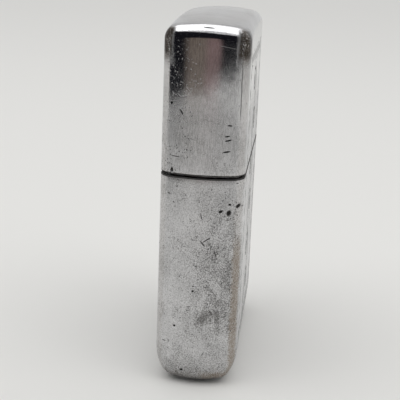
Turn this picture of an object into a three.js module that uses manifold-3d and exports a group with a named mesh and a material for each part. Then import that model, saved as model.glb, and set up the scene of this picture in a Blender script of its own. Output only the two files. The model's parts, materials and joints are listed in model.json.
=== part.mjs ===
// A flip-top petrol lighter with its lid closed. A drawn case and a lid are joined by a barrel hinge,
// and an inner unit sits in the case: a sleeve packed with cotton round a wick, a deck, a perforated
// chimney, a toothed wheel over a sprung flint, and the cam that snaps the lid open and shut.
// Millimetres, +Z up. X runs across the width with the hinge at -X, and Y through the thickness.
// The origin is the middle of the base.

import * as THREE from "three";
import { mergeVertices } from "three/addons/utils/BufferGeometryUtils.js";
import Module from "manifold-3d";

const wasm = await Module();
wasm.setup();

// Driving dimensions: the case and the lid
const width = 36.6;
const thickness = 12.7;
const height = 57;
const seamZ = 33.9;
const seamGap = 0.45;
const wall = 0.7;
const sideRadius = 17; // the crown of each narrow side, seen from above
const cornerRadius = 2.6; // where a narrow side runs into a large face
const topEdge = { size: 1.8, drop: 1.8 };
const baseEdge = { size: 2.4, drop: 4.4 };
const topCrown = { x: 1, y: 0.8 }; // how far the top falls by a narrow side and by a large face
const baseCrown = { x: 0.65, y: 0.95, flat: 0.22 }; // the base's rise, less its flat middle

// Clearances
const seat = 0.05; // between fixed pieces that touch
const running = 0.05; // between an axle and what turns on it
const insertPlay = 0.15; // between the inner unit and the large faces of the case
const openingPlay = 0.2; // between the inner unit and the narrow side away from the hinge
const leafPlay = 0.1; // between the inner unit and the hinge leaves
const earPlay = 0.15; // between an ear and the piece that turns beside it
const softGap = 0.3; // round the cotton and the felt
const flintGap = 0.1; // between the flint, the wheel and the plunger

// The hinge
const knuckleRadius = 1.15;
const knuckleCount = 5;
const knuckleGap = 0.08;
const barrelLength = 9;
const pinRadius = 0.5;
const leafThickness = 0.45;
const leafLength = 9;
const notchPlay = 0.15;

// The inner unit
const insertBase = 4.2;
const deckZ = 36;
const sleeveWall = 0.45;
const deckPlate = 0.6;
const deckSkirt = 2.8;
const chimney = { left: -11, right: 4.5, half: 5.05, side: 9, corner: 2.4 };
const chimneyTop = 53;
const chimneyWall = 0.5;
const ventRadius = 1.25;
const ventRows = [3, 2, 3];
const ventPitch = 3.9;
const ventRowPitch = 3.3;
const ventTopMargin = 3; // from the chimney's top to the middle of the first row
const wheelX = 8.4;
const wheelRise = 5.6;
const wheelRadius = 4.4;
const wheelHalf = 3.3;
const wheelTeeth = 30;
const toothDepth = 0.3;
const wheelEarRadius = 2.8;
const axleRadius = 0.85;
const camX = -12.8;
const camRise = 3.4;
const camHalf = 1.9;
const camHubRadius = 1.9;
const camEarRadius = 2.1;
const rivetRadius = 0.8;
const wickX = -3.2;
const wickRadius = 1.4;
const tubeRadius = 1.8;
const tubeBore = 1.35;
const flintRadius = 1.2;
const flintLength = 4;
const plungerLength = 2.5;
const screwHeadRadius = 2.4;
const packingCount = 5;

// Fineness of the curves
const sideSteps = 6;
const cornerSteps = 4;
const flatSteps = 6;
const edgeSteps = 5;
const coarseSteps = [3, 2, 1]; // of a narrow side, a corner and a flat on the soft pieces
const roundSides = 20;
const smallSides = 16;

const hingeX = -width / 2;
const wheelZ = deckZ + wheelRise;
const camZ = deckZ + camRise;

const casePlan = {
  left: -width / 2,
  right: width / 2,
  half: thickness / 2,
  side: sideRadius,
  corner: cornerRadius,
};

// The inner unit's plan clears the hinge leaves on the left and the bare wall on the right.
const leafOuterRadius = sideRadius - wall - seat;
const leafInnerRadius = leafOuterRadius - leafThickness;
const insertSide = leafInnerRadius - leafPlay;
const insertPlan = {
  left: casePlan.left + sideRadius - insertSide,
  right: casePlan.right - wall - openingPlay,
  half: thickness / 2 - wall - insertPlay,
  side: insertSide,
  corner: cornerRadius - wall - 0.4,
};

// ---- Solids and meshes ----

// A closed geometry as a solid that can be joined and cut.
function solid(geometry) {
  const bare = geometry.clone();
  bare.deleteAttribute("normal");
  bare.deleteAttribute("uv");
  const merged = mergeVertices(bare, 1e-4);
  return new wasm.Manifold(
    new wasm.Mesh({
      numProp: 3,
      vertProperties: merged.attributes.position.array,
      triVerts: new Uint32Array(merged.index.array),
    }),
  );
}

function piece(name, shape, material, place = [0, 0, 0]) {
  const { vertProperties, triVerts } = shape.getMesh();
  const geometry = new THREE.BufferGeometry();
  geometry.setAttribute("position", new THREE.BufferAttribute(vertProperties, 3));
  geometry.setIndex(new THREE.BufferAttribute(triVerts, 1));
  geometry.computeVertexNormals();
  const mesh = new THREE.Mesh(geometry, material());
  mesh.name = name;
  mesh.position.set(...place);
  return mesh;
}

function box([x0, x1], [y0, y1], [z0, z1]) {
  const geometry = new THREE.BoxGeometry(x1 - x0, y1 - y0, z1 - z0);
  geometry.translate((x0 + x1) / 2, (y0 + y1) / 2, (z0 + z1) / 2);
  return solid(geometry);
}

// A round bar along Y.
function crossBar(radius, y0, y1, sides = roundSides) {
  const geometry = new THREE.CylinderGeometry(radius, radius, y1 - y0, sides);
  geometry.translate(0, (y0 + y1) / 2, 0);
  return solid(geometry);
}

// A round bar along Z.
function upright(radius, z0, z1, sides = roundSides) {
  const geometry = new THREE.CylinderGeometry(radius, radius, z1 - z0, sides);
  geometry.rotateX(Math.PI / 2);
  geometry.translate(0, 0, (z0 + z1) / 2);
  return solid(geometry);
}

// An outline seen from above, raised between two heights.
function column(points, z0, z1) {
  const geometry = new THREE.ExtrudeGeometry(new THREE.Shape(points), {
    depth: z1 - z0,
    bevelEnabled: false,
  });
  geometry.translate(0, 0, z0);
  return solid(geometry);
}

// An outline in X and Z, made thick in Y on both sides of the middle plane.
function plate(shape, half) {
  const geometry = new THREE.ExtrudeGeometry(shape, {
    depth: 2 * half,
    bevelEnabled: false,
    curveSegments: 6,
  });
  geometry.rotateX(Math.PI / 2);
  geometry.translate(0, half, 0);
  return solid(geometry);
}

// A body turned about Z from its profile of [radius, height] points, lowest first.
function turned(profile, sides = roundSides) {
  const points = profile.map(([radius, z]) => new THREE.Vector2(radius, z));
  const geometry = new THREE.LatheGeometry(points, sides);
  geometry.rotateX(Math.PI / 2);
  return solid(geometry);
}

function arc(x, y, radius, from, to, steps) {
  const curve = new THREE.EllipseCurve(x, y, radius, radius, from, to);
  return curve.getPoints(steps).slice(0, -1);
}

function line(from, to, steps) {
  return new THREE.LineCurve(from, to).getPoints(steps).slice(0, -1);
}

// The outline, from above, of a body with crowned narrow sides, round corners and flat large
// faces, counter-clockwise and inset by a distance.
function planPoints(plan, inset = 0, steps = [sideSteps, cornerSteps, flatSteps]) {
  const [bySide, byCorner, byFlat] = steps;
  const cornerY = plan.half - plan.corner;
  const reach = Math.sqrt((plan.side - plan.corner) ** 2 - cornerY ** 2);
  const lean = Math.atan2(cornerY, reach);
  const rightX = plan.right - plan.side;
  const leftX = plan.left + plan.side;
  const side = plan.side - inset;
  const corner = plan.corner - inset;
  const flatY = plan.half - inset;
  const farLeft = new THREE.Vector2(leftX - reach, flatY);
  const farRight = new THREE.Vector2(rightX + reach, flatY);
  const nearLeft = new THREE.Vector2(leftX - reach, -flatY);
  const nearRight = new THREE.Vector2(rightX + reach, -flatY);
  const turn = Math.PI;
  return [
    ...arc(rightX, 0, side, -lean, lean, bySide),
    ...arc(farRight.x, cornerY, corner, lean, turn / 2, byCorner),
    ...line(farRight, farLeft, byFlat),
    ...arc(farLeft.x, cornerY, corner, turn / 2, turn - lean, byCorner),
    ...arc(leftX, 0, side, turn - lean, turn + lean, bySide),
    ...arc(nearLeft.x, -cornerY, corner, turn + lean, 1.5 * turn, byCorner),
    ...line(nearLeft, nearRight, byFlat),
    ...arc(nearRight.x, -cornerY, corner, 1.5 * turn, 2 * turn - lean, byCorner),
  ];
}

// A closed skin over rings of points, lowest ring first, with a fan over each end.
function skin(rings, bottom, top) {
  const count = rings[0].length;
  const points = [...rings.flat(), bottom, top];
  const bottomIndex = points.length - 2;
  const topIndex = points.length - 1;
  const last = (rings.length - 1) * count;
  const index = [];
  for (let i = 0; i < count; i += 1) {
    const next = (i + 1) % count;
    index.push(bottomIndex, next, i);
    index.push(topIndex, last + i, last + next);
    for (let start = 0; start < last; start += count) {
      index.push(start + i, start + next, start + count + next);
      index.push(start + i, start + count + next, start + count + i);
    }
  }
  const geometry = new THREE.BufferGeometry().setFromPoints(points);
  geometry.setIndex(index);
  return solid(geometry);
}

// ---- The case and the lid ----

// How far a crowned end falls away, at a point, by the square of the distance from its middle.
function crownSag(crown, x, y) {
  return crown.x * (x / (width / 2)) ** 2 + crown.y * (y / (thickness / 2)) ** 2;
}

function topSag(x, y) {
  return crownSag(topCrown, x, y);
}

function baseSag(x, y) {
  return Math.max(0, crownSag(baseCrown, x, y) - baseCrown.flat);
}

// The case's plan carried from a flat mouth to a crowned end with a rounded edge, inset on
// every side. The end is above the mouth on the lid and below it on the case.
function domedBlock(mouthZ, endZ, edge, sag, inset) {
  const up = Math.sign(endZ - mouthZ);
  const tipZ = endZ - up * inset;
  const ring = (depth, scale, heightAt) =>
    planPoints(casePlan, depth).map(
      ({ x, y }) => new THREE.Vector3(x * scale, y * scale, heightAt(x * scale, y * scale)),
    );
  const rings = [ring(inset, 1, () => mouthZ)];
  for (let step = 0; step <= edgeSteps; step += 1) {
    const angle = ((Math.PI / 2) * step) / edgeSteps;
    const depth = inset + (edge.size - inset) * (1 - Math.cos(angle));
    const drop = (edge.drop - inset) * (1 - Math.sin(angle));
    rings.push(ring(depth, 1, (x, y) => tipZ - up * (drop + sag(x, y))));
  }
  for (const scale of [0.8, 0.65, 0.5]) {
    rings.push(ring(edge.size, scale, (x, y) => tipZ - up * sag(x, y)));
  }
  const mouth = new THREE.Vector3(0, 0, mouthZ);
  const tip = new THREE.Vector3(0, 0, tipZ);
  if (up < 0) {
    return skin(rings.reverse(), tip, mouth);
  }
  return skin(rings, mouth, tip);
}

// The room that both shells leave round the hinge's barrel.
function barrelNotch() {
  const reach = knuckleRadius + notchPlay;
  const half = barrelLength / 2 + notchPlay;
  return box([hingeX - reach, hingeX + 2 * reach], [-half, half], [seamZ - reach, seamZ + reach]);
}

function drawnShell(mouthZ, endZ, edge, sag) {
  const beyond = mouthZ - Math.sign(endZ - mouthZ);
  const outside = domedBlock(mouthZ, endZ, edge, sag, 0);
  const inside = domedBlock(beyond, endZ, edge, sag, wall);
  return outside.subtract(inside).subtract(barrelNotch());
}

function caseShell() {
  return drawnShell(seamZ - seamGap / 2, 0, baseEdge, baseSag);
}

function lidShell() {
  return drawnShell(seamZ + seamGap / 2, height, topEdge, topSag);
}

// ---- The hinge, about its own axis ----

const knuckleLength = barrelLength / knuckleCount - knuckleGap;

function knuckleMiddle(index) {
  return (index - (knuckleCount - 1) / 2) * (barrelLength / knuckleCount);
}

// A leaf bent to the narrow side's inner face, with a tab and a knuckle at each index. It
// rises from the axis when up is 1 and hangs from it when up is -1.
function hingeLeaf(up, indices) {
  const spread = Math.asin(barrelLength / 2 / leafOuterRadius);
  const from = Math.PI - spread;
  const to = Math.PI + spread;
  const outer = new THREE.EllipseCurve(sideRadius, 0, leafOuterRadius, leafOuterRadius, from, to);
  const inner = new THREE.EllipseCurve(sideRadius, 0, leafInnerRadius, leafInnerRadius, from, to);
  const band = [...outer.getPoints(sideSteps), ...inner.getPoints(sideSteps).reverse()];
  const boreRadius = pinRadius + running;
  const leafStart = knuckleRadius - notchPlay;
  const tabEnd = knuckleRadius + notchPlay - seat;
  const leafHeights = up > 0 ? [leafStart, leafLength] : [-leafLength, -leafStart];
  const tabHeights = up > 0 ? [0, tabEnd] : [-tabEnd, 0];
  let leaf = column(band, ...leafHeights);
  for (const index of indices) {
    const y0 = knuckleMiddle(index) - knuckleLength / 2;
    const y1 = y0 + knuckleLength;
    const tab = box([boreRadius + seat, 2 * knuckleRadius], [y0, y1], tabHeights);
    leaf = leaf.add(tab).add(crossBar(knuckleRadius, y0, y1, smallSides));
  }
  const core = upright(leafInnerRadius, -leafLength - 1, leafLength + 1, 72);
  const bore = crossBar(boreRadius, -barrelLength, barrelLength, smallSides);
  return leaf.subtract(core.translate([sideRadius, 0, 0])).subtract(bore);
}

function hingePin() {
  return crossBar(pinRadius, -barrelLength / 2, barrelLength / 2, smallSides);
}

// ---- The inner unit ----

function insertSleeve() {
  const outside = column(planPoints(insertPlan), insertBase, deckZ - seat);
  const inside = column(planPoints(insertPlan, sleeveWall), insertBase - 1, deckZ + 1);
  return outside.subtract(inside);
}

// A shallow cup, mouth down, pressed into the top of the sleeve.
function insertDeck() {
  const skirt = sleeveWall + seat;
  const outside = column(planPoints(insertPlan, skirt), deckZ - deckSkirt, deckZ);
  const inside = column(
    planPoints(insertPlan, skirt + sleeveWall),
    deckZ - deckSkirt - 1,
    deckZ - deckPlate,
  );
  const wickHole = upright(1.3 * wickRadius, 0, height).translate([wickX, 0, 0]);
  const tubeHole = upright(tubeRadius + seat, 0, height).translate([wheelX, 0, 0]);
  const slotHalf = camHalf + 2 * earPlay;
  const tailSwing = 2.2 * camHubRadius;
  const camSlot = box([camX - 1.6, camX + tailSwing], [-slotHalf, slotHalf], [0, height]);
  return outside.subtract(inside).subtract(wickHole).subtract(tubeHole).subtract(camSlot);
}

// The outline, in X and Z, round two circles: a link from one centre to the other.
function linkShape(from, fromRadius, to, toRadius) {
  const across = to.clone().sub(from);
  const heading = across.angle();
  const spread = Math.acos((fromRadius - toRadius) / across.length());
  const shape = new THREE.Shape();
  shape.absarc(from.x, from.y, fromRadius, heading + spread, heading - spread + 2 * Math.PI);
  shape.absarc(to.x, to.y, toRadius, heading - spread, heading + spread);
  return shape;
}

// Two plates that carry an axle between them, from the deck up round the axle, and joined to
// the chimney's wall at wallX.
function earPair(axleX, axleZ, gapHalf, wallX, earRadius) {
  const foot = deckZ + seat;
  const away = Math.sign(axleX - wallX);
  const axle = new THREE.Vector2(axleX, axleZ);
  const shoulder = new THREE.Vector2(wallX + away, axleZ);
  const footEnd = axleX + away * 1.5 * earRadius;
  const flank = new THREE.Shape([
    new THREE.Vector2(wallX, foot),
    new THREE.Vector2(footEnd, foot),
    new THREE.Vector2(axleX + away * earRadius, axleZ),
    new THREE.Vector2(wallX, axleZ),
  ]);
  const outer = gapHalf + chimneyWall;
  const round = linkShape(shoulder, earRadius * 0.999, axle, earRadius);
  const both = plate(flank, outer).add(plate(round, outer));
  const below = box([-width, width], [-thickness, thickness], [0, foot]);
  const between = box([-width, width], [-gapHalf, gapHalf], [0, height]);
  return both.subtract(below).subtract(between);
}

// The vents, drilled through both large faces.
function ventDrills() {
  const middleX = (chimney.left + chimney.right) / 2;
  const drills = [];
  ventRows.forEach((count, row) => {
    const z = chimneyTop - ventTopMargin - row * ventRowPitch;
    for (let i = 0; i < count; i += 1) {
      const x = middleX + (i - (count - 1) / 2) * ventPitch;
      drills.push(crossBar(ventRadius, -thickness, thickness, 12).translate([x, 0, z]));
    }
  });
  return drills;
}

// The chimney, open at the top and over the deck, with the wheel's ears and the cam's ears.
function windscreen() {
  const foot = deckZ + seat;
  const wheelGap = wheelHalf + earPlay;
  const camGap = camHalf + earPlay;
  const outside = column(planPoints(chimney), foot, chimneyTop);
  const inside = column(planPoints(chimney, chimneyWall), 0, height);
  const overWheel = wheelZ + wheelRadius + 0.5;
  const overCam = camZ + 2.2 * camHubRadius;
  const wheelWindow = box([0, wheelX], [-wheelGap, wheelGap], [0, overWheel]);
  const camWindow = box([camX, chimney.left + 2], [-camGap, camGap], [0, overCam]);
  const chimneyTube = outside.subtract(inside).subtract(wheelWindow).subtract(camWindow);
  const wheelEars = earPair(wheelX, wheelZ, wheelGap, chimney.right - chimneyWall, wheelEarRadius);
  const camEars = earPair(camX, camZ, camGap, chimney.left + chimneyWall, camEarRadius);
  const axleHole = crossBar(axleRadius + seat, -thickness, thickness);
  const rivetHole = crossBar(rivetRadius + seat, -thickness, thickness);
  let screen = chimneyTube.add(wheelEars).add(camEars);
  for (const drill of ventDrills()) {
    screen = screen.subtract(drill);
  }
  return screen
    .subtract(axleHole.translate([wheelX, 0, wheelZ]))
    .subtract(rivetHole.translate([camX, 0, camZ]));
}

// A toothed wheel about its own axle.
function strikerWheel() {
  const points = [];
  for (let tooth = 0; tooth < wheelTeeth; tooth += 1) {
    const angle = (2 * Math.PI * tooth) / wheelTeeth;
    const valley = angle + Math.PI / wheelTeeth;
    const root = wheelRadius - toothDepth;
    points.push(new THREE.Vector2(wheelRadius, 0).rotateAround(new THREE.Vector2(), angle));
    points.push(new THREE.Vector2(root, 0).rotateAround(new THREE.Vector2(), valley));
  }
  const blank = plate(new THREE.Shape(points), wheelHalf);
  return blank.subtract(crossBar(axleRadius + running, -thickness, thickness));
}

// A pin along Y with a flat round head outside each ear.
function rivet(radius, gapHalf) {
  const headStart = gapHalf + chimneyWall + seat;
  const headHeight = 0.4;
  const headRadius = 1.7 * radius;
  const shank = crossBar(radius, -headStart, headStart);
  const head = crossBar(headRadius, headStart, headStart + headHeight);
  const otherHead = crossBar(headRadius, -headStart - headHeight, -headStart);
  return shank.add(head).add(otherHead);
}

// The cam about its own rivet: a nose that leans out to the lid's wall, and a tail that
// reaches down through the deck to the leaf spring.
function camLever() {
  const hub = new THREE.Vector2();
  const nose = new THREE.Vector2(-2.2, 4.6);
  const tail = new THREE.Vector2(0.2, -3.45);
  const arm = plate(linkShape(hub, camHubRadius, nose, 0.9), camHalf);
  const heel = plate(linkShape(hub, 0.95 * camHubRadius, tail, 0.95), camHalf);
  return arm.add(heel).subtract(crossBar(rivetRadius + running, -thickness, thickness));
}

// A leaf spring about the cam's rivet: flat against the deck on the right, and bent down and
// back up under the cam's tail.
function camSpring() {
  const deckUnder = -camRise - deckPlate - seat;
  const leaf = 0.35;
  const centre = new THREE.SplineCurve([
    new THREE.Vector2(6.8, deckUnder - leaf / 2),
    new THREE.Vector2(4.9, deckUnder - leaf / 2),
    new THREE.Vector2(2.4, deckUnder - 0.75),
    new THREE.Vector2(0.2, deckUnder - 0.95),
    new THREE.Vector2(-1.6, deckUnder - 0.8),
  ]);
  const steps = 12;
  const upper = [];
  const lower = [];
  for (let i = 0; i <= steps; i += 1) {
    const at = centre.getPoint(i / steps);
    const along = centre.getTangent(i / steps);
    const side = new THREE.Vector2(-along.y, along.x).multiplyScalar(leaf / 2);
    upper.push(at.clone().add(side));
    lower.push(at.clone().sub(side));
  }
  return plate(new THREE.Shape([...upper, ...lower.reverse()]), camHalf - 0.2);
}

// ---- The flint train, about its own upright axis ----

const wheelBottom = wheelZ - wheelRadius;
const flintTop = wheelBottom - flintGap;
const flintBottom = flintTop - flintLength;
const plungerTop = flintBottom - flintGap;
const plungerBottom = plungerTop - plungerLength;
const plungerShoulder = plungerBottom + 1.2;
const screwBottom = insertBase + 0.1;
const screwHeadTop = screwBottom + 1.5;
const tubeBottom = screwHeadTop + flintGap + seat;
const springBottom = tubeBottom + 4.2;

function flintTube() {
  const outside = upright(tubeRadius, tubeBottom, wheelBottom - 0.3);
  return outside.subtract(upright(tubeBore, 0, height));
}

function flint() {
  return upright(flintRadius, flintBottom, flintTop, 16);
}

// A tip with a stem that the spring pushes on.
function flintPlunger() {
  const stemRadius = 0.55;
  const bevel = 0.4;
  return turned([
    [0, plungerBottom],
    [stemRadius, plungerBottom],
    [stemRadius, plungerShoulder],
    [flintRadius, plungerShoulder],
    [flintRadius, plungerTop - bevel],
    [flintRadius - bevel, plungerTop],
    [0, plungerTop],
  ]);
}

// A coil between the screw's shank and the plunger's stem.
function flintSpring() {
  const wireRadius = 0.17;
  const coilRadius = 0.98;
  const turns = 15;
  const stepsPerTurn = 9;
  const low = springBottom + wireRadius + flintGap;
  const high = plungerShoulder - wireRadius - flintGap;
  const points = [];
  for (let i = 0; i <= turns * stepsPerTurn; i += 1) {
    const angle = (2 * Math.PI * i) / stepsPerTurn;
    const z = low + ((high - low) * i) / (turns * stepsPerTurn);
    points.push(new THREE.Vector3(coilRadius * Math.cos(angle), coilRadius * Math.sin(angle), z));
  }
  const section = new THREE.Shape(arc(0, 0, wireRadius, 0, 2 * Math.PI, 5));
  const geometry = new THREE.ExtrudeGeometry(section, {
    steps: turns * stepsPerTurn,
    extrudePath: new THREE.CatmullRomCurve3(points),
    bevelEnabled: false,
  });
  return solid(geometry);
}

function flintScrew() {
  const bevel = 0.3;
  const shankRadius = tubeBore - 2 * running;
  const body = turned([
    [0, screwBottom],
    [screwHeadRadius - bevel, screwBottom],
    [screwHeadRadius, screwBottom + bevel],
    [screwHeadRadius, screwHeadTop],
    [shankRadius, screwHeadTop],
    [shankRadius, springBottom],
    [0, springBottom],
  ]);
  const slotHalf = 0.35;
  const slotTop = screwBottom + 0.7;
  const slot = box([-thickness, thickness], [-slotHalf, slotHalf], [0, slotTop]);
  return body.subtract(slot);
}

// ---- The soft pieces ----

const packingBase = insertBase + 3;
const packingTop = deckZ - deckSkirt - 0.5;

// A rope through the packing in two gentle bends, then straight up the chimney.
function wickRope(radius) {
  const low = packingBase + 1.5;
  const straightFrom = deckZ - 4;
  const high = chimneyTop - 4;
  const sway = 2.2;
  const points = [];
  const bends = 8;
  for (let i = 0; i <= bends; i += 1) {
    const share = i / bends;
    const x = wickX + sway * Math.sin(2 * Math.PI * share);
    points.push(new THREE.Vector3(x, 0, low + (straightFrom - low) * share));
  }
  points.push(new THREE.Vector3(wickX, 0, deckZ + 3));
  points.push(new THREE.Vector3(wickX, 0, high));
  const section = new THREE.Shape(arc(0, 0, radius, 0, 2 * Math.PI, 10));
  const geometry = new THREE.ExtrudeGeometry(section, {
    steps: 26,
    extrudePath: new THREE.CatmullRomCurve3(points),
    bevelEnabled: false,
  });
  return solid(geometry);
}

// One plug of cotton, pressed between the sleeve's walls and the flint tube, with a channel
// for the wick.
function cottonBall(index) {
  const pitch = (packingTop - packingBase + softGap) / packingCount;
  const z0 = packingBase + index * pitch;
  const roundness = 1;
  const plan = {
    left: insertPlan.left + sleeveWall + softGap,
    right: wheelX - tubeRadius - softGap,
    half: insertPlan.half - sleeveWall - softGap,
    side: 11,
    corner: 2,
  };
  const outline = planPoints(plan, roundness, coarseSteps);
  const geometry = new THREE.ExtrudeGeometry(new THREE.Shape(outline), {
    depth: pitch - softGap - 2 * roundness,
    bevelSize: roundness,
    bevelThickness: roundness,
    bevelSegments: 2,
  });
  geometry.translate(0, 0, z0 + roundness);
  return solid(geometry).subtract(wickRope(wickRadius + softGap));
}

function feltPad() {
  const outline = planPoints(insertPlan, sleeveWall + 2 * seat, coarseSteps);
  const pad = column(outline, screwBottom, packingBase - softGap);
  const screwHole = upright(screwHeadRadius + 0.5, 0, height);
  return pad.subtract(screwHole.translate([wheelX, 0, 0]));
}

// ---- Materials ----

function metal(color, roughness) {
  return () => new THREE.MeshStandardMaterial({ color, roughness, metalness: 1 });
}

function cloth(color) {
  return () => new THREE.MeshStandardMaterial({ color, roughness: 0.95, metalness: 0 });
}

const chrome = metal(0xb9bbbd, 0.3);
const steel = metal(0xa9aaab, 0.4);
const darkSteel = metal(0x5a5a5c, 0.5);
const brass = metal(0xb08d4a, 0.4);
const flintMetal = metal(0x3b3735, 0.8);
const cotton = cloth(0xece8dd);
const felt = cloth(0xd9d2c0);

// ---- Assembly ----

function hinge() {
  const group = new THREE.Group();
  group.position.set(hingeX, 0, seamZ);
  group.add(piece("hinge_leaf_case", hingeLeaf(-1, [0, 2, 4]), steel));
  group.add(piece("hinge_leaf_lid", hingeLeaf(1, [1, 3]), steel));
  group.add(piece("hinge_pin", hingePin(), steel));
  return group;
}

function flintTrain() {
  const group = new THREE.Group();
  group.position.set(wheelX, 0, 0);
  group.add(piece("flint_tube", flintTube(), brass));
  group.add(piece("flint", flint(), flintMetal));
  group.add(piece("flint_plunger", flintPlunger(), brass));
  group.add(piece("flint_spring", flintSpring(), steel));
  group.add(piece("flint_screw", flintScrew(), brass));
  return group;
}

function innerUnit() {
  const group = new THREE.Group();
  const atWheel = [wheelX, 0, wheelZ];
  const atCam = [camX, 0, camZ];
  group.add(piece("insert_case", insertSleeve(), steel));
  group.add(piece("insert_deck", insertDeck(), steel));
  group.add(piece("windscreen", windscreen(), steel));
  group.add(piece("striker_wheel", strikerWheel(), darkSteel, atWheel));
  group.add(piece("wheel_axle", rivet(axleRadius, wheelHalf + earPlay), steel, atWheel));
  group.add(piece("cam_lever", camLever(), darkSteel, atCam));
  group.add(piece("cam_rivet", rivet(rivetRadius, camHalf + earPlay), steel, atCam));
  group.add(piece("cam_spring", camSpring(), darkSteel, atCam));
  group.add(flintTrain());
  group.add(piece("wick", wickRope(wickRadius), cotton));
  for (let i = 0; i < packingCount; i += 1) {
    group.add(piece(`cotton_ball_${i + 1}`, cottonBall(i), cotton));
  }
  group.add(piece("felt_pad", feltPad(), felt));
  return group;
}

const lighter = new THREE.Group();
lighter.add(piece("case_shell", caseShell(), chrome));
lighter.add(piece("lid_shell", lidShell(), chrome));
lighter.add(hinge());
lighter.add(innerUnit());

export default lighter;
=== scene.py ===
"""Looks for a flip-top petrol lighter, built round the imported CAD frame.

Shapes are worked out in millimetres from the frame's boxes and a few named sizes, and written to
the meshes in metres. Every shown piece stands for one CAD node and rides on that node's body.
"""

import json
import math

import bpy
import numpy as np
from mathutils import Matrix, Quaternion, Vector, noise

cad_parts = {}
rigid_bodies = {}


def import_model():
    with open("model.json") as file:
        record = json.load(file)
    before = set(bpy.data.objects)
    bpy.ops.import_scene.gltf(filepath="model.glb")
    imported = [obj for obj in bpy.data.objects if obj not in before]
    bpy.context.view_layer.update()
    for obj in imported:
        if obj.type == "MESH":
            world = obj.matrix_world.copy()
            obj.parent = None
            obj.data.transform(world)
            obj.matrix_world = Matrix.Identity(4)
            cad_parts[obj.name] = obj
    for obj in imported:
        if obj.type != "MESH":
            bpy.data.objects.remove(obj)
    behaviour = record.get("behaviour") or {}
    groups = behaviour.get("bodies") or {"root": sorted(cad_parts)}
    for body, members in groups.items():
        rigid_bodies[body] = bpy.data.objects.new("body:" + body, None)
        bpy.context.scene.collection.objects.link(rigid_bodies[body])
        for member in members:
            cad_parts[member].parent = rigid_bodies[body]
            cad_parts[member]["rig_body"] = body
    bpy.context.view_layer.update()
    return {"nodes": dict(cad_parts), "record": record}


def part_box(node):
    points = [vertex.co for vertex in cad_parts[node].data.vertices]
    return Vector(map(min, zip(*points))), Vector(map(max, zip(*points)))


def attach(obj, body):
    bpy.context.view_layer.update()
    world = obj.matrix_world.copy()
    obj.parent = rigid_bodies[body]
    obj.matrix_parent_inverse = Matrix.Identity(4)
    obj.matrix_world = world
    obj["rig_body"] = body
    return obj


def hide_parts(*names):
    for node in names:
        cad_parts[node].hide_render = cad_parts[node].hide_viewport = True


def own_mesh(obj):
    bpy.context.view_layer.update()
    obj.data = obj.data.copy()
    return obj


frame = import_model()
slots = {row["node"]: row["material_slot"] for row in frame["record"]["subparts"]}
MM = 0.001
TURN = 2 * math.pi


def box_mm(node):
    """A CAD node's lowest and highest corner, in millimetres."""
    low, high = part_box(node)
    return low / MM, high / MM


case_high = box_mm("case_shell")[1]
lid_low, lid_high = box_mm("lid_shell")
WIDTH = 2 * case_high.x
THICKNESS = 2 * case_high.y
HEIGHT = lid_high.z
SEAM = (case_high.z + lid_low.z) / 2
WALL = 0.7
SIDE_RADIUS = 17.0
CORNER_RADIUS = 2.6
TOP_EDGE = (1.8, 1.8)  # how far the rounded edge reaches in, and how far it drops
BASE_EDGE = (2.4, 4.4)
SEAT = 0.05  # between fixed pieces that touch
PLAY = 0.1  # between the inner unit and what is round it
PLAN_STEPS = (36, 12, 44)  # points on each narrow side, corner and flat of an outline


# ---- Meshes ----


def placed(name, data):
    """A new object in the scene."""
    obj = bpy.data.objects.new(name, data)
    bpy.context.scene.collection.objects.link(obj)
    return obj


def new_object(name, points, faces):
    """A smooth mesh from points in millimetres."""
    mesh = bpy.data.meshes.new(name)
    mesh.from_pydata((np.asarray(points, float) * MM).tolist(), [], faces)
    mesh.shade_smooth()
    return placed(name, mesh)


def loft(name, rings, closed=False):
    """A skin over rings of equally many points. Its ends are fans, or closed joins them up."""
    count = len(rings[0])
    points = np.concatenate(rings)
    faces = []
    pairs = len(rings) if closed else len(rings) - 1
    for row in range(pairs):
        start, after = row * count, (row + 1) % len(rings) * count
        for i in range(count):
            j = (i + 1) % count
            faces.append((start + i, start + j, after + j, after + i))
    if not closed:
        low, high = len(points), len(points) + 1
        last = (len(rings) - 1) * count
        points = np.concatenate([points, [rings[0].mean(0), rings[-1].mean(0)]])
        for i in range(count):
            j = (i + 1) % count
            faces.append((low, j, i))
            faces.append((high, last + i, last + j))
    return new_object(name, points, faces)


def circle(radius, sides, axis="z", at=(0, 0, 0)):
    """A ring of points round an axis. radius may differ from point to point."""
    angle = np.arange(sides) * TURN / sides
    flat = {"z": (1, 0, 0), "y": (0, 0, 1)}[axis]
    up = {"z": (0, 1, 0), "y": (1, 0, 0)}[axis]
    spread = np.outer(np.cos(angle), flat) + np.outer(np.sin(angle), up)
    return spread * np.reshape(radius, (-1, 1)) + np.asarray(at, float)


def turned(name, profile, axis="z", at=(0, 0, 0), sides=64):
    """A body turned from points of a radius and a distance along the axis."""
    along = {"z": (0, 0, 1), "y": (0, 1, 0)}[axis]
    least = 1e-4  # so that a pointed end keeps a ring
    rings = [
        circle(max(radius, least), sides, axis, np.add(at, np.multiply(along, reach)))
        for radius, reach in profile
    ]
    return loft(name, rings)


def drill(radius, half, axis, at, sides=48):
    """A cylinder, used only to cut."""
    return turned("drill", [(radius, -half), (radius, half)], axis, at, sides)


def prism(name, first, last):
    """A solid between two matching outlines, which needn't be convex."""
    count = len(first)
    faces = [tuple(range(count)), tuple(reversed(range(count, 2 * count)))]
    faces += [(i, i + count, (i + 1) % count + count, (i + 1) % count) for i in range(count)]
    return outward(new_object(name, np.concatenate([first, last]), faces))


def plate(name, outline, low, high):
    """An outline in X and Z, made thick along Y from low to high."""
    return prism(name, *[[(x, y, z) for x, z in outline] for y in (low, high)])


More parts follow.
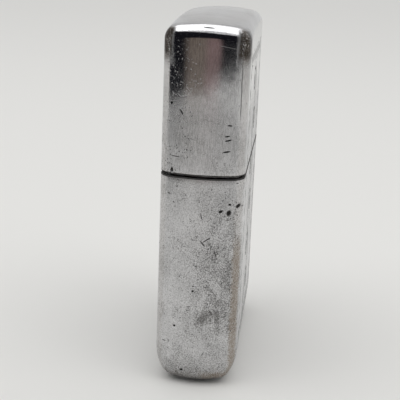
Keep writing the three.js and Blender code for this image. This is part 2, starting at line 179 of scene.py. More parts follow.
def block(low, high):
    """A box, used only to cut."""
    (x0, y0, z0), (x1, y1, z1) = low, high
    return plate("cutter", [(x0, z0), (x1, z0), (x1, z1), (x0, z1)], y0, y1)


def outward(obj):
    """Turns a closed mesh's faces outward."""
    mesh = obj.data
    mesh.calc_loop_triangles()
    co = np.array([v.co for v in mesh.vertices])
    volume = 0.0
    for triangle in mesh.loop_triangles:
        a, b, c = co[list(triangle.vertices)]
        volume += np.dot(a, np.cross(b, c))
    if volume < 0:
        mesh.flip_normals()
    return obj


def settle(obj):
    """Applies an object's modifiers."""
    graph = bpy.context.evaluated_depsgraph_get()
    mesh = bpy.data.meshes.new_from_object(obj.evaluated_get(graph), depsgraph=graph)
    obj.modifiers.clear()
    obj.data = mesh
    return obj


def combine(obj, operation, others):
    """Cuts the others from obj, or joins them to it, and removes them."""
    outward(obj)
    for other in others:
        outward(other)
        step = obj.modifiers.new("combine", "BOOLEAN")
        step.operation = operation
        step.solver = "MANIFOLD"
        step.object = other
    settle(obj)
    for other in others:
        bpy.data.objects.remove(other)
    obj.data.shade_smooth()
    return obj


def cut(obj, *others):
    return combine(obj, "DIFFERENCE", others)


def join(obj, *others):
    return combine(obj, "UNION", others)


def arc(cx, cy, radius, start, stop, count):
    """Points along an arc, its last one left out."""
    angle = start + (stop - start) * np.arange(count) / count
    return np.stack([cx + radius * np.cos(angle), cy + radius * np.sin(angle)], 1)


def plan_ring(plan, inset=0.0, steps=PLAN_STEPS):
    """The outline, from above, of a body with crowned narrow sides, round corners and flat faces."""
    left, right, half, side, corner = plan
    by_side, by_corner, by_flat = steps
    corner_y = half - corner
    reach = math.sqrt((side - corner) ** 2 - corner_y**2)
    lean = math.atan2(corner_y, reach)
    right_x, left_x = right - side, left + side
    far = (right_x + reach, left_x - reach)
    flat_y = half - inset
    front = np.linspace((far[0], flat_y), (far[1], flat_y), by_flat, endpoint=False)
    back = np.linspace((far[1], -flat_y), (far[0], -flat_y), by_flat, endpoint=False)
    r, c = side - inset, corner - inset
    return np.concatenate(
        [
            arc(right_x, 0, r, -lean, lean, by_side),
            arc(far[0], corner_y, c, lean, TURN / 4, by_corner),
            front,
            arc(far[1], corner_y, c, TURN / 4, TURN / 2 - lean, by_corner),
            arc(left_x, 0, r, TURN / 2 - lean, TURN / 2 + lean, by_side),
            arc(far[1], -corner_y, c, TURN / 2 + lean, 0.75 * TURN, by_corner),
            back,
            arc(far[0], -corner_y, c, 0.75 * TURN, TURN - lean, by_corner),
        ]
    )


def raised(outline, z):
    """An outline as a ring at a height, or at a height for each point."""
    return np.column_stack([outline, np.broadcast_to(z, len(outline))])


def column(name, plan, inset, low, high):
    """A plan as a solid between two heights."""
    outline = plan_ring(plan, inset)
    return loft(name, [raised(outline, low), raised(outline, high)])


def sweep(name, path, radius, sides=12, bump=None):
    """A round section carried along a path. bump(angle, distance) scales the radius."""
    path = np.asarray(path, float)
    ahead = np.gradient(path, axis=0)
    ahead /= np.linalg.norm(ahead, axis=1)[:, None]
    length = np.concatenate([[0], np.cumsum(np.linalg.norm(np.diff(path, axis=0), axis=1))])
    side = np.cross(ahead[0], (0.0, 1.0, 0.0))
    angle = np.arange(sides) * TURN / sides
    rings = []
    for point, heading, distance in zip(path, ahead, length):
        side = side - heading * np.dot(side, heading)
        side /= np.linalg.norm(side)
        up = np.cross(heading, side)
        reach = radius * (bump(angle, distance) if bump else np.ones(sides))
        spread = np.outer(np.cos(angle), side) + np.outer(np.sin(angle), up)
        rings.append(point + spread * reach[:, None])
    return loft(name, rings)


def show(obj, node, material, bevel=0.0, segments=2):
    """Gives a piece its edges and finish, and puts it on the body of the CAD node it stands for."""
    obj.name = "fine_" + node
    obj.data.materials.clear()
    obj.data.materials.append(material)
    if bevel:
        edges = obj.modifiers.new("edges", "BEVEL")
        edges.width = bevel * MM
        edges.segments = segments
        edges.limit_method = "ANGLE"
        edges.angle_limit = math.radians(38)
        edges.miter_outer = "MITER_ARC"
        settle(obj)
        obj.data.shade_smooth()
    normals = obj.modifiers.new("normals", "WEIGHTED_NORMAL")
    normals.keep_sharp = True
    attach(obj, frame["nodes"][node]["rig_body"])
    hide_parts(node)
    return obj


def mark(obj, name, values):
    """Stores one number for each vertex, for the material to read."""
    layer = obj.data.attributes.new(name, "FLOAT", "POINT")
    layer.data.foreach_set("value", np.asarray(values, np.float32))


# ---- Finishes ----


class Value:
    """A socket that arithmetic can be done on: each operation adds a Math node."""

    def __init__(self, finish, socket):
        self.finish, self.socket = finish, socket

    def __add__(self, other):
        return self.finish.math("ADD", self, other)

    def __sub__(self, other):
        return self.finish.math("SUBTRACT", self, other)

    def __rsub__(self, other):
        return self.finish.math("SUBTRACT", other, self)

    def __mul__(self, other):
        return self.finish.math("MULTIPLY", self, other)

    def __truediv__(self, other):
        return self.finish.math("DIVIDE", self, other)

    def __abs__(self):
        return self.finish.math("ABSOLUTE", self)

    __radd__ = __add__
    __rmul__ = __mul__


class Finish:
    """A material built from nodes. Its coordinates are the piece's own, in millimetres."""

    def __init__(self, name):
        self.material = bpy.data.materials.new(name)
        self.material.use_nodes = True
        self.tree = self.material.node_tree
        self.tree.nodes.clear()
        own = self.node("ShaderNodeTexCoord", out="Object")
        self.place = self.node("ShaderNodeVectorMath", own, (1 / MM,) * 3, operation="MULTIPLY")
        parts = self.tree.nodes.new("ShaderNodeSeparateXYZ")
        self.put(parts.inputs[0], self.place)
        self.x, self.y, self.z = [Value(self, socket) for socket in parts.outputs]

    def put(self, socket, value):
        value = getattr(value, "socket", value)
        if isinstance(value, bpy.types.NodeSocket):
            self.tree.links.new(value, socket)
        elif value is not None:
            socket.default_value = value

    def node(self, kind, *inputs, out=0, named=None, **settings):
        made = self.tree.nodes.new(kind)
        for key, value in settings.items():
            setattr(made, key, value)
        for socket, value in zip(made.inputs, inputs):
            self.put(socket, value)
        for key, value in (named or {}).items():
            self.put(made.inputs[key], value)
        return Value(self, made.outputs[out])

    def math(self, operation, *inputs):
        return self.node("ShaderNodeMath", *inputs, operation=operation)

    def highest(self, first, *others):
        for other in others:
            first = self.math("MAXIMUM", first, other)
        return first

    def step(self, value, low, high):
        """0 below low, 1 above high, smooth between them. low may be the larger."""
        ends = (low, high, 0.0, 1.0)
        return self.node("ShaderNodeMapRange", value, *ends, interpolation_type="SMOOTHSTEP")

    def stretch(self, scale, turn=(0, 0, 0)):
        """The coordinates scaled on each axis, after a turn in degrees."""
        angles = {"Rotation": [math.radians(t) for t in turn]}
        facing = self.node("ShaderNodeMapping", self.place, named=angles)
        return self.node("ShaderNodeVectorMath", facing, scale, operation="MULTIPLY")

    def noise(self, scale, detail=2.0, roughness=0.5, distortion=0.0, at=None):
        """Noise from 0 to 1 with about scale features to the millimetre."""
        settings = {"Scale": scale, "Detail": detail, "Roughness": roughness, "Distortion": distortion}
        return self.node("ShaderNodeTexNoise", at or self.place, named=settings)

    def cells(self, scale, feature="F1", at=None):
        """How far a point is from a cell's middle, or from its edge."""
        settings = {"out": "Distance", "feature": feature}
        return self.node("ShaderNodeTexVoronoi", at or self.place, named={"Scale": scale}, **settings)

    def far(self, a, b):
        """The long side of a right triangle."""
        return self.math("SQRT", a * a + b * b)

    def mark(self, name):
        """The number that mark() stored on the mesh."""
        return self.node("ShaderNodeAttribute", out="Fac", attribute_name=name)

    def blend(self, share, first, second):
        """A number between two numbers."""
        ends = {"Factor": share, "A": first, "B": second}
        return self.node("ShaderNodeMix", named=ends, data_type="FLOAT")

    def tint(self, share, first, second):
        """A colour between two colours."""
        made = self.tree.nodes.new("ShaderNodeMix")
        made.data_type = "RGBA"
        for index, value in ((0, share), (6, first), (7, second)):
            rgb = isinstance(value, tuple) and len(value) == 3
            self.put(made.inputs[index], (*value, 1.0) if rgb else value)
        return Value(self, made.outputs[2])

    def lines(self, scale, width, turn, kept):
        """Fine straight scratches: thin cell edges in stretched space, kept in patches."""
        space = self.stretch((1.0, 1.0, 0.28), turn)
        edge = self.cells(scale, "DISTANCE_TO_EDGE", space)
        patch = self.noise(scale * 0.8, 1.0, at=space)
        return self.step(edge, width, 0.0) * self.step(patch, kept, kept + 0.12)

    def dashes(self, scale, size, turn, kept):
        """Short straight marks of a length and width in millimetres, level or turned about X."""
        length, width = size
        reach = 0.12
        along, across = 2 * reach / scale / length, 2 * reach / scale / width
        space = self.stretch((0.5, along, across), (turn, 0, 0))
        spot = self.cells(scale, at=space)
        patch = self.noise(0.9, 2.0)
        return self.step(spot, reach, 0.4 * reach) * self.step(patch, kept, kept + 0.05)

    def stroke(self, ragged, y, z, length, width, turn):
        """One mark on the narrow side, turned in degrees from level. ragged, near 0.5, frays its edge."""
        dy, dz = self.y - y, self.z - z
        c, s = math.cos(math.radians(turn)), math.sin(math.radians(turn))
        along = abs(c * dy + s * dz) / (length / 2)
        across = abs(c * dz - s * dy) / (width / 2)
        return self.step(self.far(along, across) + 1.1 * (ragged - 0.5), 1.0, 0.6)

    def near(self, y, z, reach):
        """1 at a place on the narrow side, down to 0 at reach from it."""
        return self.step(self.far(self.y - y, self.z - z), reach, 0.2 * reach)

    def surface(self, colour, metallic, roughness, height, **more):
        """The finished material. height is the relief in millimetres."""
        relief = {"Height": height, "Distance": MM, "Strength": 1.0}
        normal = self.node("ShaderNodeBump", named=relief)
        looks = {"Base Color": colour, "Metallic": metallic, "Roughness": roughness, "Normal": normal}
        shader = self.node("ShaderNodeBsdfPrincipled", named={**looks, **more})
        end = self.tree.nodes.new("ShaderNodeOutputMaterial")
        self.put(end.inputs["Surface"], shader)
        return self.material


CHROME = (0.575, 0.572, 0.578)
TARNISH = (0.16, 0.155, 0.15)
BRASSING = (0.36, 0.3, 0.24)
# Near black, for pit, scratch and engraving fill and for the painted shade at the seam and base.
PIT_FILL_AND_SHADE = (0.012, 0.011, 0.01)
SOIL = (0.05, 0.034, 0.022)
BARE_INSIDE = ((0.46, 0.43, 0.38), (0.3, 0.27, 0.23))

# Scratches and pits on the opening side: Y, Z, length, width and turn.
FRONT_SCRATCHES = (
    (3.6, SEAM + 4.0, 1.3, 0.3, 8),
    (3.8, SEAM + 5.7, 1.2, 0.28, 14),
    (3.6, SEAM + 6.3, 0.9, 0.26, 10),
    (3.9, SEAM + 7.9, 0.9, 0.26, -4),
    (-3.2, SEAM + 9.6, 1.2, 0.24, -58),
    (-4.7, SEAM + 10.8, 0.55, 0.5, 0),
    (-3.9, SEAM + 2.9, 1.6, 0.16, -4),
    (-4.4, SEAM + 0.7, 1.3, 0.5, 90),
    (0.3, HEIGHT - 1.35, 2.0, 0.2, -3),
    (5.6, SEAM - 4.3, 0.95, 0.65, 35),
    (4.3, SEAM - 5.3, 1.1, 0.8, 70),
    (3.1, SEAM - 5.1, 0.75, 0.55, 20),
    (4.4, SEAM - 4.0, 0.5, 0.4, 0),
    (1.2, SEAM - 9.6, 1.8, 0.2, 35),
    (0.6, SEAM - 10.2, 1.5, 0.2, -48),
    (-0.6, 16.0, 0.45, 0.4, 0),
    (-3.3, 10.0, 0.5, 0.45, 0),
    (-2.0, 2.6, 0.6, 0.5, 30),
)


def engraved_scroll(f):
    """A running scroll up the +Y face in a border of strokes between two lines, from 0 to 1."""
    cell, foot = 7.0, 0.6  # one curl's height, and where the lowest starts
    curl_x, curl_radius, growth = 1.6, 3.0, 0.95
    margin_x, margin_z, border_width = 5.2, 5.4, 2.0

    row = f.math("FLOOR", (f.z - foot) / cell)
    flip = 1.0 - 2.0 * f.math("PINGPONG", row, 1.0)
    z = (f.z - foot) - (row + 0.5) * cell
    x = f.x * flip
    radius = f.far(x - curl_x, z)
    angle = f.math("ARCTAN2", z, x - curl_x) / TURN
    phase = f.math("FRACT", f.math("LOGARITHM", radius, math.e) / growth - angle)
    inside = f.step(radius, curl_radius + 0.1, curl_radius - 0.1) * f.step(radius, 0.25, 0.3)
    curl = f.step(abs(phase - 0.5) * radius * growth, 0.34, 0.2) * inside
    wave = f.math("SINE", f.z * (math.pi / cell) + 0.2)
    stem = f.step(abs(f.x + 3.4 * wave), 0.5, 0.3)
    leaf = f.step(abs(f.x * f.x * 0.16 - abs(z)), 0.3, 0.1)
    leaves = leaf * f.step(abs(x), 7.5, 7.0) * f.step(abs(x), 3.9, 4.2)

    far_x = abs(f.x) - (WIDTH / 2 - margin_x)
    far_z = abs(f.z - HEIGHT / 2) - (HEIGHT / 2 - margin_z)
    border = f.highest(far_x, far_z)  # how far a point lies outside the outer line
    worn = f.step(f.noise(0.45, 3.0, 0.6), 0.46, 0.6)
    outer = 0.7 * worn * f.step(abs(border), 0.2, 0.1)
    inner = worn * f.step(abs(border + border_width), 0.2, 0.1)
    strokes = f.step(f.math("SINE", (f.z + f.x) * (TURN / 2.6)), 0.1, 0.5)
    strokes = strokes * f.step(abs(border + border_width / 2), 0.68, 0.55)
    panel = f.step(border, -border_width - 0.3, -border_width - 0.5)
    drawn = f.highest(f.highest(curl, stem, leaves) * panel, outer, inner, strokes)
    return drawn * f.step(f.y, THICKNESS / 2 - 0.06, THICKNESS / 2 - 0.02)


def chrome_scratches(f, fine, patch, front, polished):
    """Procedural dashes and hairs, the known marks and one long upright line, from 0 to 1."""
    dashes = f.highest(
        f.dashes(0.7, (1.5, 0.24), 0, 0.47),
        f.dashes(0.5, (1.8, 0.2), 72, 0.5),
        f.dashes(0.6, (1.9, 0.2), 118, 0.52),
    )
    known = f.highest(*[f.stroke(fine, *place) for place in FRONT_SCRATCHES]) * front
    line = f.step(abs(f.y - 5.3 + 0.3 * (patch - 0.5)), 0.1, 0.03) * front
    line = line * f.step(f.z, SEAM + 8, SEAM + 10) * f.step(f.z, HEIGHT - 4, HEIGHT - 6)
    hairs = f.lines(0.8, 0.02, (97, -15, 30), 0.6)
    dashes = dashes * (1.0 - 0.8 * polished)
    return f.highest(0.85 * dashes, 0.97 * known, 0.7 * line, 0.3825 * hairs)


def worn_chrome():
    """Chrome that is bright near the lid's top, satin and pitted below, and worn at its corners."""
    f = Finish("worn_chrome")
    wear, inside = f.mark("wear"), f.mark("inside")
    outside = 1.0 - inside
    grain = f.noise(5.2, 3.0, 0.7)
    fine = f.noise(11.0, 2.0, 0.7)
    brushed = f.noise(1.0, 3.0, 0.7, at=f.stretch((9.0, 9.0, 1.1)))
    patch = f.noise(0.5, 4.0, 0.62, 0.4, at=f.stretch((1.0, 1.0, 0.7)))
    cloud = f.noise(0.17, 3.0, 0.6)

    # Where things are
    on_lid = f.step(f.z, SEAM - 0.5, SEAM + 0.5)
    front = f.step(f.x, 12.0, 17.0)
    top_band = front * f.step(f.z, HEIGHT - 2.6, HEIGHT - 1.6) * outside
    polished = f.step(f.z, SEAM + 6.5, HEIGHT - 9.5) * outside
    middle = f.step(f.z, SEAM, SEAM - 11) * f.step(f.z, 3.0, 12.0)
    tarnished = front * f.step(f.y, -4.5, 3.0) * middle
    from_seam = abs(f.z - SEAM)
    beside = f.step(f.z, HEIGHT - 7.5, HEIGHT - 4.8) * f.step(f.z, HEIGHT - 1.2, HEIGHT - 1.9)
    top_corner = beside * front * outside * f.step(abs(f.y) + 1.4 * (patch - 0.5), 4.3, 4.9)

    # Fine dark stipple, pits and a smudge
    density = 0.34 * tarnished + 0.9 * (patch - 0.5) + 0.3 * (cloud - 0.5) - 0.5 * polished
    # Painted shade: the stipple grows denser towards the base, darkening the case near the floor.
    density = density + 0.28 * f.step(f.z, 8.0, 2.0) + 0.06 * on_lid
    stipple = f.step(0.5 * grain + 0.5 * fine + 0.26 * density, 0.555, 0.64)
    smudge = f.near(2.0, 11.0, 3.2) * front * f.step(patch + 0.4 * (grain - 0.5), 0.36, 0.6)
    cluster = f.near(4.2, SEAM - 4.6, 2.6) * front
    near_seam = f.step(f.z, SEAM - 2.2, SEAM - 0.8) * f.step(f.y, 0, -3.0) * front
    specks = f.step(f.cells(2.2) + 1.1 * (grain - 0.5), 0.24, 0.1)
    pitted = patch + 0.1 * tarnished + 0.3 * cluster + 0.16 * near_seam
    deep = specks * f.step(pitted, 0.58, 0.63) * (1.0 - 0.85 * polished)
    scratch = chrome_scratches(f, fine, patch, front, polished) * outside

    # Brass at the worn corners, grime at the top corners, painted shade along the seam and a painted
    # contact shadow along the base
    corner = f.step(wear + 0.8 * (patch - 0.5) + 0.6 * (grain - 0.5), 0.5, 0.95) * outside
    strip = f.step(f.z, SEAM - 7, SEAM - 13) * f.step(f.y, 0, 2.0) * front
    brass = corner * f.highest(0.2, strip, top_corner)
    # Painted shade: the rims on both sides of the seam are darkened so that the gap reads as a dark line
    # of shadow.
    painted_seam_shade = f.step(from_seam + 0.2 * (grain - 0.5), 0.42, 0.33)
    painted_seam_shade = painted_seam_shade * (0.85 + 0.15 * f.step(from_seam, 0.24, 0.27))
    dirty = f.step(0.6 * grain + 0.4 * fine + 0.3 * (patch - 0.5), 0.37, 0.45)
    # Painted contact shadow: the lowest edge of the base is darkened where it meets the floor.
    painted_base_shadow = 0.6 * f.step(f.z + 0.6 * (grain - 0.5), 1.3, 0.3) * outside
    # Painted seam shade and painted base shadow, together with grime at the top corners.
    shade_and_grime = f.highest(painted_seam_shade, top_corner * dirty, painted_base_shadow)
    drawn = engraved_scroll(f)

    satin = f.blend(on_lid, 0.6 * grain + 0.4 * fine, 0.55 * brushed + 0.45 * fine)
    light, dim = tuple(1.2 * c for c in CHROME), tuple(0.66 * c for c in CHROME)
    colour = f.tint(f.step(satin + 0.35 * (cloud - 0.5), 0.36, 0.66), light, dim)
    colour = f.tint(0.78 * stipple, colour, TARNISH)
    colour = f.tint(0.6 * smudge, colour, TARNISH)
    colour = f.tint(brass * (0.35 + 0.9 * (grain - 0.2)), colour, BRASSING)
    colour = f.tint(inside, colour, f.tint(patch, *BARE_INSIDE))
    # The colour of the dark marks and of the painted shade: near black, brown at the top corners.
    dark_marks_and_shade = f.tint(top_corner * f.step(fine, 0.45, 0.6), PIT_FILL_AND_SHADE, SOIL)
    dark = f.highest(0.92 * deep, scratch, (0.85 + 0.25 * grain) * shade_and_grime, drawn)
    colour = f.tint(dark, colour, dark_marks_and_shade)

    satin_share = 1.0 - 0.6 * polished
    rough = f.blend(polished, 0.3, 0.1) + 0.05 * top_band + 0.1 * (grain - 0.5) * satin_share
    rough = rough + 0.12 * stipple * satin_share + 0.1 * smudge + 0.2 * brass + 0.3 * shade_and_grime
    rough = f.highest(rough, 0.5 * inside, 0.5 * drawn, 0.07)
    height = (
        0.0034 * grain * (1.0 - 0.85 * polished + 2.0 * top_band)
        + 0.0008 * fine
        + 0.0016 * brushed * on_lid
        + 0.012 * cloud
        - 0.003 * stipple
        - 0.03 * deep
        - 0.01 * scratch
        - 0.03 * drawn
    )
    metallic = 1.0 - f.highest(0.6 * deep, 0.6 * drawn, 0.96 * shade_and_grime, 0.42 * inside)
    return f.surface(colour, metallic, rough, height, **{"Specular IOR Level": 0.5 - 0.4 * shade_and_grime})


def insert_steel():
    f = Finish("insert_steel")
    grain = f.noise(4.0, 3.0, 0.6)
    brushed = f.noise(1.0, 2.0, at=f.stretch((9.0, 9.0, 0.6)))
    cloud = f.noise(0.3, 3.0, 0.6)
    stain = f.step(cloud, 0.5, 0.75)
    soot = f.step(f.z + 5 * cloud, 48.0, 56.0)
    scratch = f.highest(f.lines(0.5, 0.016, (20, 0, 0), 0.55), f.lines(0.8, 0.02, (80, 10, 0), 0.58))
    colour = f.tint(stain, (0.5, 0.5, 0.51), (0.34, 0.32, 0.29))
    colour = f.tint(0.6 * soot, colour, (0.12, 0.09, 0.06))
    rough = 0.27 + 0.12 * brushed + 0.12 * stain + 0.2 * soot
    height = 0.0012 * grain + 0.0012 * brushed + 0.01 * cloud - 0.002 * scratch
    return f.surface(colour, 1.0, rough, height)


def hard_steel():
    f = Finish("hard_steel")
    grain = f.noise(5.0, 3.0, 0.65)
    cloud = f.noise(0.9, 3.0, 0.6)
    worn = f.step(f.mark("wear") + 0.3 * (grain - 0.5), 0.55, 0.9)
    colour = f.tint(cloud, (0.12, 0.12, 0.125), (0.2, 0.185, 0.17))
    colour = f.tint(worn, colour, (0.46, 0.45, 0.44))
    rough = 0.5 - 0.18 * worn + 0.12 * grain
    return f.surface(colour, 1.0, rough, 0.004 * grain + 0.006 * cloud)


def plain_brass():
    f = Finish("plain_brass")
    rings = f.noise(1.0, 2.0, at=f.stretch((0.6, 0.6, 9.0)))
    cloud = f.noise(0.7, 3.0, 0.6)
    colour = f.tint(f.step(cloud, 0.4, 0.75), (0.6, 0.42, 0.16), (0.3, 0.19, 0.08))
    rough = 0.28 + 0.15 * rings + 0.12 * cloud
    return f.surface(colour, 1.0, rough, 0.003 * rings + 0.004 * cloud)


def flint_alloy():
    f = Finish("flint_alloy")
    grain = f.noise(7.0, 4.0, 0.7)
    colour = f.tint(grain, (0.05, 0.045, 0.04), (0.13, 0.11, 0.095))
    return f.surface(colour, 0.7, 0.75, 0.02 * grain)


def fibres(f, scale):
    """Crossing fine fibres, from 0 to 1."""
    one = f.noise(scale, 3.0, 0.7, 1.2, at=f.stretch((3.0, 0.7, 1.2), (20, 35, 50)))
    two = f.noise(scale, 3.0, 0.7, 1.2, at=f.stretch((0.8, 2.6, 1.0), (60, 10, 25)))
    return f.highest(one, two)


def cotton(name="cotton", char_from=None):
    f = Finish(name)
    strand = fibres(f, 2.5)
    cloud = f.noise(0.6, 3.0)
    colour = f.tint(strand, (0.62, 0.58, 0.49), (0.86, 0.83, 0.76))
    colour = f.tint(0.5 * f.step(cloud, 0.5, 0.8), colour, (0.6, 0.52, 0.36))
    if char_from:
        charred = f.step(f.z + 1.2 * cloud, char_from, char_from + 1.5)
        colour = f.tint(charred, colour, (0.02, 0.018, 0.016))
    height = 0.06 * strand + 0.03 * cloud
    return f.surface(colour, 0.0, 0.92, height, **{"Sheen Weight": 0.35, "Sheen Roughness": 0.5})


def felt():
    f = Finish("felt")
    strand = fibres(f, 4.0)
    cloud = f.noise(0.8, 3.0)
    colour = f.tint(strand, (0.5, 0.45, 0.36), (0.74, 0.69, 0.58))
    colour = f.tint(0.4 * cloud, colour, (0.42, 0.36, 0.27))
    return f.surface(colour, 0.0, 0.95, 0.05 * strand, **{"Sheen Weight": 0.5, "Sheen Roughness": 0.6})


# ---- The case and the lid ----

CASE_PLAN = (-WIDTH / 2, WIDTH / 2, THICKNESS / 2, SIDE_RADIUS, CORNER_RADIUS)
HINGE_X = -WIDTH / 2
BARREL = 9.0
KNUCKLE_RADIUS = 1.15


def top_sag(x, y):
    """How far the lid's crowned top has dropped below its middle."""
    return 1.0 * (2 * x / WIDTH) ** 2 + 0.8 * (2 * y / THICKNESS) ** 2


def base_sag(x, y):
    """How far the base has risen from its flat middle."""
    rise = 0.65 * (2 * x / WIDTH) ** 2 + 0.95 * (2 * y / THICKNESS) ** 2 - 0.22
    return np.maximum(0, rise)


def shell_side(mouth, end, edge, sag, inset, rim):
    """Rings over one surface of a drawn shell, from its mouth to its crowned end."""
    up = math.copysign(1, end - mouth)
    size, drop = edge
    tip = end - up * inset
    outline = plan_ring(CASE_PLAN, inset)
    start = mouth + up * rim
    edge_start = tip - up * (drop - inset + sag(*outline.T))
    rings = [raised(outline, start + (edge_start - start) * share) for share in np.linspace(0, 1, 30)]
    for angle in np.linspace(0, TURN / 4, 17)[1:]:
        ring = plan_ring(CASE_PLAN, inset + (size - inset) * (1 - math.cos(angle)))
        fall = (drop - inset) * (1 - math.sin(angle)) + sag(*ring.T)
        rings.append(raised(ring, tip - up * fall))
    outline = plan_ring(CASE_PLAN, size)
    for scale in np.linspace(1, 0.06, 14)[1:]:
        ring = outline * scale
        rings.append(raised(ring, tip - up * sag(*ring.T)))
    return rings


def rolled_edge(plan, inset, mouth, rim, inward, up, count, steps=PLAN_STEPS):
    """Rings round a wall's rolled edge, from its side to its end. inward and up are 1 or -1."""
    rings = []
    for angle in np.linspace(0, TURN / 4, count):
        ring = plan_ring(plan, inset + inward * rim * (1 - math.cos(angle)), steps)
        rings.append(raised(ring, mouth + up * rim * (1 - math.sin(angle))))
    return rings


def drawn_shell(name, mouth, end, edge, sag):
    """A shell with a rounded rim, one skin from its crown, round its mouth, to its inner crown."""
    rim = 0.06
    up = math.copysign(1, end - mouth)
    outside = shell_side(mouth, end, edge, sag, 0.0, rim)
    inside = shell_side(mouth, end, edge, sag, WALL, rim)
    lip = rolled_edge(CASE_PLAN, 0.0, mouth, rim, 1, up, 5)[1:]
    back = rolled_edge(CASE_PLAN, WALL, mouth, rim, -1, up, 5)[:0:-1]
    return loft(name, [*outside[::-1], *lip, *back, *inside])


def plan_depth(x, y):
    """How far a point lies inside the plan's outline, and how far round a corner it is."""
    left, right, half, side, corner = CASE_PLAN
    corner_y = half - corner
    reach = math.sqrt((side - corner) ** 2 - corner_y**2)
    lean = math.atan2(corner_y, reach)
    ax, ay = np.abs(x), np.abs(y)
    from_side = side - np.hypot(ax - (right - side), ay)
    from_corner = corner - np.hypot(ax - (right - side + reach), ay - corner_y)
    turn = np.arctan2(ay - corner_y, ax - (right - side + reach))
    in_corner = (turn > lean) & (turn < TURN / 4) & (ay > corner_y)
    depth = np.minimum(half - ay, np.where(in_corner, from_corner, from_side))
    share = np.where(in_corner, (turn - lean) / (TURN / 4 - lean), 0)
    return depth, np.sin(math.pi * share)


def mark_shell(obj, mouth, end, edge):
    """Stores how exposed each point is to wear, and which points are inside."""
    x, y, z = np.array([v.co for v in obj.data.vertices]).T / MM
    depth, corner = plan_depth(x, y)
    from_end = np.abs(end - z)
    size, drop = edge
    round_edge = np.clip(1 - np.abs(from_end - 0.3 * drop) / (0.6 * drop), 0, 1)
    rim = np.clip(1 - np.abs(z - mouth) / 0.5, 0, 1)
    sag = (top_sag if end > mouth else base_sag)(x, y)
    inner = (depth > 0.6 * WALL) & (from_end - sag > 0.6 * WALL)
    t = np.clip((drop + sag - from_end) / drop, 0, 1)
    skin_depth = size * (1 - np.sqrt(np.maximum(0, 1 - t**2)))
    inner &= (from_end >= drop + 1.5) | (depth - skin_depth > 0.45 * WALL)
    mark(obj, "wear", np.maximum.reduce([corner, round_edge, rim]) * ~inner)
    mark(obj, "inside", inner.astype(float))


def notch_cutter():
    """The room that both shells leave round the hinge's barrel."""
    clearance = 0.15
    reach, half = KNUCKLE_RADIUS + clearance, BARREL / 2 + clearance
    return block((HINGE_X - reach, -half, SEAM - reach), (HINGE_X + 2 * reach, half, SEAM + reach))


def nick_cutter():
    """A small nick in the lid's rim, on the opening side."""
    y, half, tall = -4.4, 0.2, 0.6
    low = (WIDTH / 2 - 3, y - half, lid_low.z - 1)
    return block(low, (WIDTH / 2 + 1, y + half, lid_low.z + tall))


def case_and_lid(material):
    base = drawn_shell("case", case_high.z, 0.0, BASE_EDGE, base_sag)
    cut(base, notch_cutter())
    mark_shell(base, case_high.z, 0.0, BASE_EDGE)
    show(base, "case_shell", material)
    lid = drawn_shell("lid", lid_low.z, HEIGHT, TOP_EDGE, top_sag)
    cut(lid, notch_cutter(), nick_cutter())
    mark_shell(lid, lid_low.z, HEIGHT, TOP_EDGE)
    show(lid, "lid_shell", material)


# ---- The hinge ----

KNUCKLES = 5
KNUCKLE_GAP = 0.08
PIN_RADIUS = 0.5
BORE = PIN_RADIUS + 0.05
LEAF = 0.45
LEAF_LENGTH = 9.0


def rounded_bar(name, radius, low, high, at, edge=0.12):
    """A round bar along Y with rolled edges."""
    edges = [(1 - math.sin(a), 1 - math.cos(a)) for a in np.linspace(0, TURN / 4, 5)]
    profile = [(radius - edge * inset, low + edge * rise) for inset, rise in edges]
    profile += [(radius - edge * inset, high - edge * rise) for inset, rise in edges[::-1]]
    return turned(name, profile, "y", at)


def hinge_leaf(name, up, indices):
    """A leaf bent to the narrow side's inner face, with a tab and a knuckle at each index."""
    centre = HINGE_X + SIDE_RADIUS
    at = (HINGE_X, 0, SEAM)
    outer = SIDE_RADIUS - WALL - SEAT
    spread = math.asin(BARREL / 2 / outer)
    angles = np.linspace(TURN / 2 - spread, TURN / 2 + spread, 25)
    band = [(r, a) for r, run in ((outer, angles), (outer - LEAF, angles[::-1])) for a in run]
    outline = np.array([(centre + r * math.cos(a), r * math.sin(a)) for r, a in band])
    low, high = sorted((SEAM + up * (KNUCKLE_RADIUS - 0.15), SEAM + up * LEAF_LENGTH))
    leaf = prism(name, raised(outline, low), raised(outline, high))
    tab_low, tab_high = sorted((SEAM, SEAM + up * (KNUCKLE_RADIUS + 0.1)))
    tab_near, tab_far = HINGE_X + BORE + 0.05, HINGE_X + 2.3
    pitch = BARREL / KNUCKLES
    joined = []
    for index in indices:
        middle = (index - (KNUCKLES - 1) / 2) * pitch
        y0, y1 = middle - (pitch - KNUCKLE_GAP) / 2, middle + (pitch - KNUCKLE_GAP) / 2
        joined.append(rounded_bar("knuckle", KNUCKLE_RADIUS, y0, y1, at))
        joined.append(block((tab_near, y0, tab_low), (tab_far, y1, tab_high)))
    join(leaf, *joined)
    core = drill(outer - LEAF, 12, "z", (centre, 0, SEAM), 256)
    return cut(leaf, core, drill(BORE, BARREL, "y", at))


def hinge(material):
    show(hinge_leaf("leaf", -1, (0, 2, 4)), "hinge_leaf_case", material, bevel=0.05)
    show(hinge_leaf("leaf", 1, (1, 3)), "hinge_leaf_lid", material, bevel=0.05)
    pin = rounded_bar("pin", PIN_RADIUS, -BARREL / 2, BARREL / 2, (HINGE_X, 0, SEAM), edge=0.2)
    show(pin, "hinge_pin", material)


# ---- The inner unit ----

